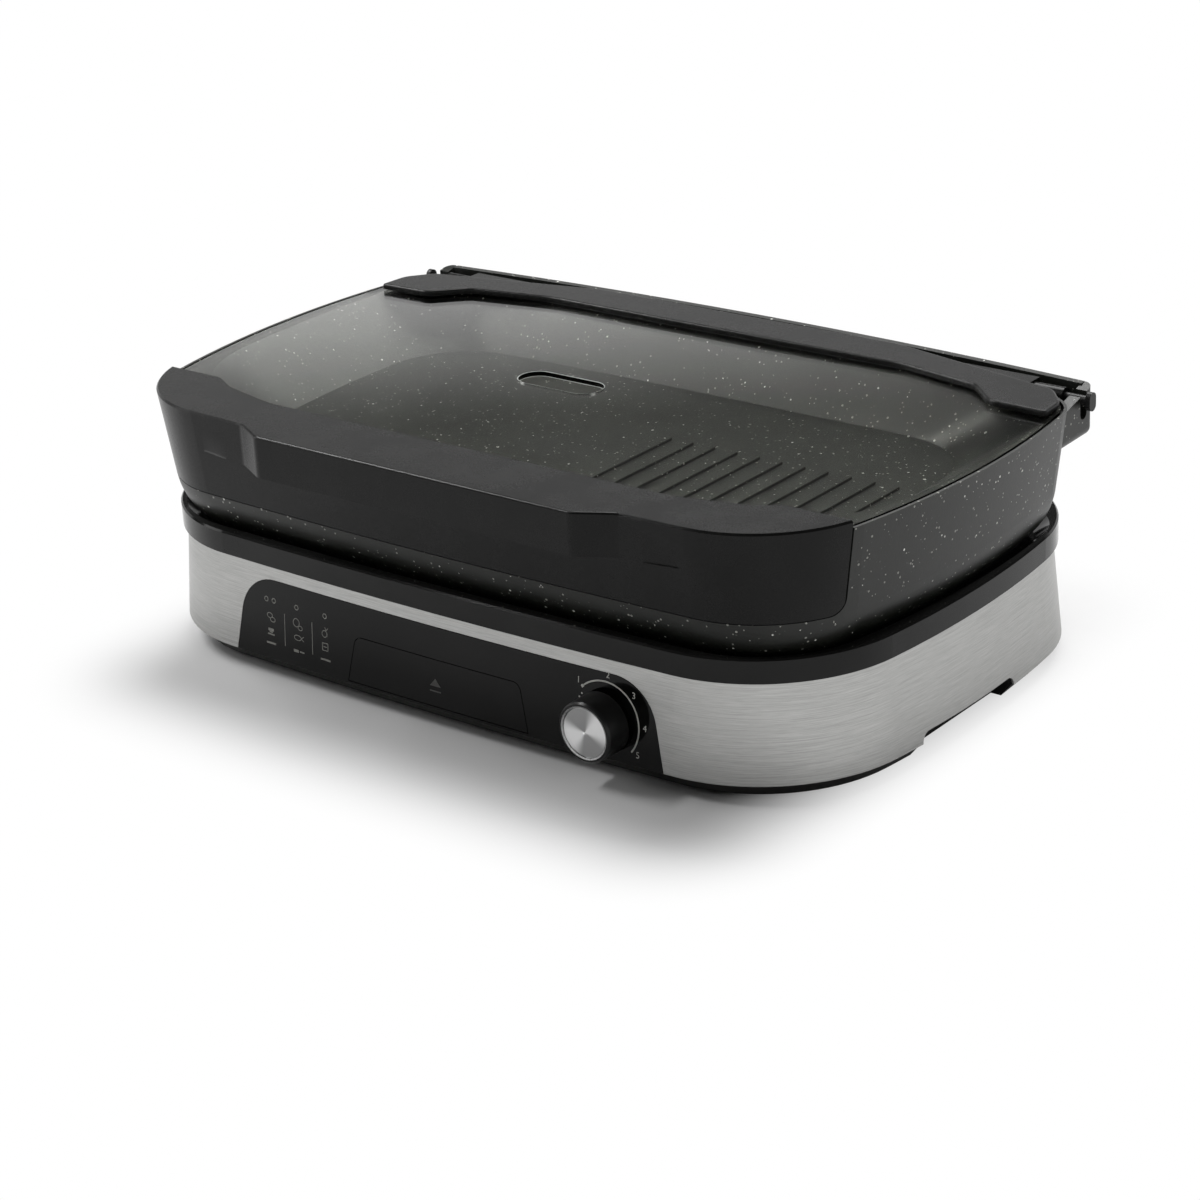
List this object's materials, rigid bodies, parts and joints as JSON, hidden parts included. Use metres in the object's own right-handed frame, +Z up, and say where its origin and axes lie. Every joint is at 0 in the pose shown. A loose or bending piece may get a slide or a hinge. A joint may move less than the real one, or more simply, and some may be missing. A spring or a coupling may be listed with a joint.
{
  "type": "electric plancha",
  "caption": "Electric table plancha with a glass lid, a lift-off cast grill plate, a drip drawer and a rotary heat knob.",
  "frame": {"origin": "middle of the bounding box at table level, under the feet", "axes": "+X to the right seen from the control panel, +Y to the rear with the hinge, +Z up"},
  "size_m": [0.514, 0.338, 0.1545],
  "materials": {
    "dark_plastic": "fine grained matte",
    "matte_black": "satin matte",
    "gloss_black": "high gloss",
    "steel": "horizontal brushing",
    "spun_metal": "spun",
    "zinc_steel": "zinc plated",
    "sheet_metal": "plain sheet",
    "tube_steel": "oxidised",
    "ceramic": "glazed",
    "stone_coating": "speckled non-stick coating",
    "black_metal": "satin black",
    "tinted_glass": "tinted, polished edge",
    "rubber": "matte"
  },
  "bodies": {
    "base": {"base_shell": "dark_plastic", "steel_band": "steel", "control_panel": "gloss_black", "foot_front_left": "rubber", "foot_front_right": "rubber", "foot_rear_left": "rubber", "foot_rear_right": "rubber", "rim_ring": "gloss_black", "bottom_screws": "zinc_steel", "drawer_rail_right": "dark_plastic", "drawer_rail_left": "dark_plastic", "thermostat": "dark_plastic", "reflector_pan": "sheet_metal", "heating_element": "tube_steel", "element_beads": "ceramic", "element_bracket_right": "sheet_metal", "element_bracket_left": "sheet_metal", "drain_funnel": "sheet_metal", "cord_gland": "rubber", "terminal_block": "ceramic"},
    "drawer": {"drawer_front": "gloss_black", "drawer_tray": "dark_plastic"},
    "knob": {"knob_body": "dark_plastic", "knob_cap": "spun_metal", "knob_bezel": "spun_metal", "knob_shaft": "zinc_steel"},
    "plate": {"grill_plate": "stone_coating"},
    "rod": {"hinge_rod": "black_metal", "rod_tab_right": "black_metal", "rod_tab_left": "black_metal"},
    "lid": {"lid_glass": "tinted_glass", "front_frame": "matte_black", "rear_frame": "matte_black", "front_seal": "rubber", "rear_seal": "rubber"}
  },
  "joints": [
    {"name": "drawer_slide", "type": "slide", "parent": "base", "child": "drawer", "axis": [0, -1, 0], "range_m": [0, 0.17]},
    {"name": "knob_turn", "type": "hinge", "parent": "base", "child": "knob", "pos_m": [0.118, -0.15774, 0.032], "axis": [0, 1, 0], "range_deg": [0, 186]},
    {"name": "plate_lift", "type": "slide", "parent": "base", "child": "plate", "axis": [0, 0, 1], "range_m": [0, 0.15]},
    {"name": "rod_lift", "type": "slide", "parent": "plate", "child": "rod", "axis": [0, 0, 1], "range_m": [0, 0.05]},
    {"name": "lid_hinge", "type": "hinge", "parent": "rod", "child": "lid", "pos_m": [0, 0.13856, 0.1454], "axis": [-1, 0, 0], "range_deg": [0, 95]}
  ]
}
